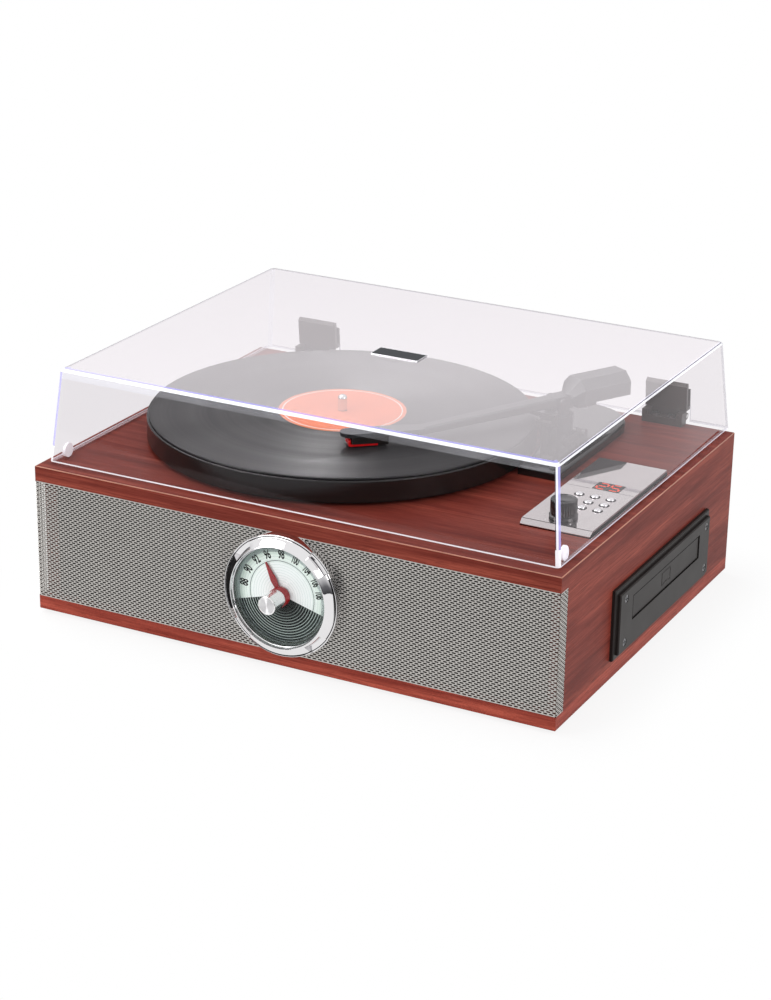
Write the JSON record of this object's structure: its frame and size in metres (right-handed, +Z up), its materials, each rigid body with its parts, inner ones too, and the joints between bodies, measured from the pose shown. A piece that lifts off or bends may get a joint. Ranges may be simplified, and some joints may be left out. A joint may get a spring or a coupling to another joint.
{
  "type": "stereo music centre",
  "caption": "Tabletop stereo music centre: wood-look cabinet with turntable under a hinged clear cover, front tuning dial, silver grille, top control panel and side cassette slot.",
  "frame": {"origin": "middle of the whole object's footprint, at the floor", "axes": "+X right along the front, +Y from the front to the rear, +Z up"},
  "size_m": [0.4396, 0.374, 0.1948],
  "materials": {
    "wood": "satin mahogany-look vinyl",
    "back_board": "matt black painted board",
    "grille_metal": "silver perforated sheet",
    "black_rubber": "matt",
    "belt_rubber": "matt",
    "frosted_rubber": "soft frosted",
    "black_steel": "black",
    "cone_paper": "matt pulp",
    "clear_acrylic": "clear, faint lilac edges",
    "badge": "dark grey plate",
    "black_plastic": "satin black",
    "gloss_black": "gloss black",
    "vinyl": "grooved black with an orange label",
    "steel": "polished",
    "motor_steel": "plain",
    "brass": "turned",
    "red_plastic": "red",
    "mirror_panel": "mirror silver",
    "dark_window": "smoked",
    "circuit_board": "green board",
    "chrome": "bright",
    "dial_face": "pale mint scale with plain numbers",
    "turned_aluminium": "spun face"
  },
  "bodies": {
    "cabinet": {"deck_board": "wood", "bottom_board": "wood", "left_side_board": "wood", "right_side_board": "wood", "rear_panel": "back_board", "front_baffle": "back_board", "speaker_grille": "grille_metal", "rubber_feet": "black_rubber", "speaker_chassis": "black_steel", "speaker_cones": "cone_paper", "hinge_bases": "black_plastic", "hinge_pins": "steel", "main_bearing": "brass", "drive_belt": "belt_rubber", "platter_motor": "motor_steel", "tonearm_plate": "gloss_black", "arm_rest": "black_plastic", "control_panel": "mirror_panel", "display_window": "dark_window", "control_board": "circuit_board", "dial_bezel": "chrome", "dial_plate": "dial_face", "dial_lens": "clear_acrylic", "tuning_capacitor": "motor_steel", "cassette_frame": "black_plastic", "cassette_well": "black_plastic", "cassette_mechanism": "motor_steel", "main_board": "circuit_board", "rear_sockets": "black_plastic", "cross_screws": "black_steel"},
    "lid": {"dust_cover": "clear_acrylic", "cover_badge": "badge", "cover_bumpers": "frosted_rubber", "hinge_clips": "black_plastic"},
    "turntable": {"platter": "gloss_black", "platter_mat": "black_rubber", "spindle": "steel", "vinyl_record": "vinyl"},
    "pulley": {"motor_pulley": "brass"},
    "turret": {"tonearm_turret": "black_plastic"},
    "arm": {"tonearm_beam": "gloss_black", "tonearm_rear_block": "black_plastic", "cartridge": "black_plastic", "stylus": "red_plastic"},
    "lift": {"cue_lift_bar": "black_plastic"},
    "lever": {"cue_lever": "black_plastic"},
    "speed": {"speed_switch": "black_plastic"},
    "volume": {"volume_knob": "gloss_black"},
    "tuner": {"dial_pointer": "red_plastic", "tuning_knob": "turned_aluminium"},
    "flap": {"cassette_flap": "black_plastic"},
    "mode_key": {"mode_button": "chrome"},
    "previous_key": {"previous_button": "chrome"},
    "next_key": {"next_button": "chrome"},
    "play_key": {"play_button": "chrome"},
    "stop_key": {"stop_button": "chrome"},
    "repeat_key": {"repeat_button": "chrome"},
    "record_key": {"record_button": "chrome"},
    "delete_key": {"delete_button": "chrome"},
    "memory_key": {"memory_button": "chrome"}
  },
  "joints": [
    {"name": "lid_hinge", "type": "hinge", "parent": "cabinet", "child": "lid", "pos_m": [-0.00275, 0.1775, 0.126], "axis": [-1, 0, 0], "range_deg": [0, 62]},
    {"name": "platter_spin", "type": "hinge", "parent": "cabinet", "child": "turntable", "pos_m": [-0.05125, 0.015, 0.13], "axis": [0, 0, 1], "continuous": true},
    {"name": "pulley_spin", "type": "hinge", "parent": "cabinet", "child": "pulley", "pos_m": [-0.1361, -0.06985, 0.128], "axis": [0, 0, 1], "continuous": true},
    {"name": "arm_swing", "type": "hinge", "parent": "cabinet", "child": "turret", "pos_m": [0.09525, 0.096, 0.13], "axis": [0, 0, 1], "range_deg": [-12, 33]},
    {"name": "arm_raise", "type": "hinge", "parent": "turret", "child": "arm", "pos_m": [0.09525, 0.096, 0.149], "axis": [-0.878, 0.4787, 0], "range_deg": [0, 6]},
    {"name": "lift_rise", "type": "slide", "parent": "cabinet", "child": "lift", "axis": [0, 0, 1], "range_m": [0, 0.00251]},
    {"name": "cue_lever_turn", "type": "hinge", "parent": "cabinet", "child": "lever", "pos_m": [0.12225, 0.08, 0.133], "axis": [-1, 0, 0], "range_deg": [0, 60]},
    {"name": "speed_slide", "type": "slide", "parent": "cabinet", "child": "speed", "axis": [0, 1, 0], "range_m": [0, 0.012]},
    {"name": "volume_turn", "type": "hinge", "parent": "cabinet", "child": "volume", "pos_m": [0.17425, -0.068, 0.13], "axis": [0, 0, -1], "range_deg": [-150, 150]},
    {"name": "tuning_turn", "type": "hinge", "parent": "cabinet", "child": "tuner", "pos_m": [-0.00275, -0.16, 0.062], "axis": [0, -1, 0], "range_deg": [-126, 70]},
    {"name": "flap_hinge", "type": "hinge", "parent": "cabinet", "child": "flap", "pos_m": [0.21765, 0.0285, 0.0604], "axis": [0, 1, 0], "range_deg": [0, 80], "stiffness_Nm_per_rad": 0.004, "springref_deg": -28.65},
    {"name": "mode_press", "type": "slide", "parent": "cabinet", "child": "mode_key", "axis": [0, 0, -1], "range_m": [0, 0.0012], "stiffness_N_per_m": 150, "springref_m": -0.0008},
    {"name": "previous_press", "type": "slide", "parent": "cabinet", "child": "previous_key", "axis": [0, 0, -1], "range_m": [0, 0.0012], "stiffness_N_per_m": 150, "springref_m": -0.0008},
    {"name": "next_press", "type": "slide", "parent": "cabinet", "child": "next_key", "axis": [0, 0, -1], "range_m": [0, 0.0012], "stiffness_N_per_m": 150, "springref_m": -0.0008},
    {"name": "play_press", "type": "slide", "parent": "cabinet", "child": "play_key", "axis": [0, 0, -1], "range_m": [0, 0.0012], "stiffness_N_per_m": 150, "springref_m": -0.0008},
    {"name": "stop_press", "type": "slide", "parent": "cabinet", "child": "stop_key", "axis": [0, 0, -1], "range_m": [0, 0.0012], "stiffness_N_per_m": 150, "springref_m": -0.0008},
    {"name": "repeat_press", "type": "slide", "parent": "cabinet", "child": "repeat_key", "axis": [0, 0, -1], "range_m": [0, 0.0012], "stiffness_N_per_m": 150, "springref_m": -0.0008},
    {"name": "record_press", "type": "slide", "parent": "cabinet", "child": "record_key", "axis": [0, 0, -1], "range_m": [0, 0.0012], "stiffness_N_per_m": 150, "springref_m": -0.0008},
    {"name": "delete_press", "type": "slide", "parent": "cabinet", "child": "delete_key", "axis": [0, 0, -1], "range_m": [0, 0.0012], "stiffness_N_per_m": 150, "springref_m": -0.0008},
    {"name": "memory_press", "type": "slide", "parent": "cabinet", "child": "memory_key", "axis": [0, 0, -1], "range_m": [0, 0.0012], "stiffness_N_per_m": 150, "springref_m": -0.0008}
  ],
  "couplings": [
    {"joint": "pulley_spin", "follows": "platter_spin", "ratio": 18.4},
    {"joint": "lift_rise", "follows": "arm_raise", "m_per_rad": 0.024},
    {"joint": "cue_lever_turn", "follows": "arm_raise", "ratio": 10}
  ]
}
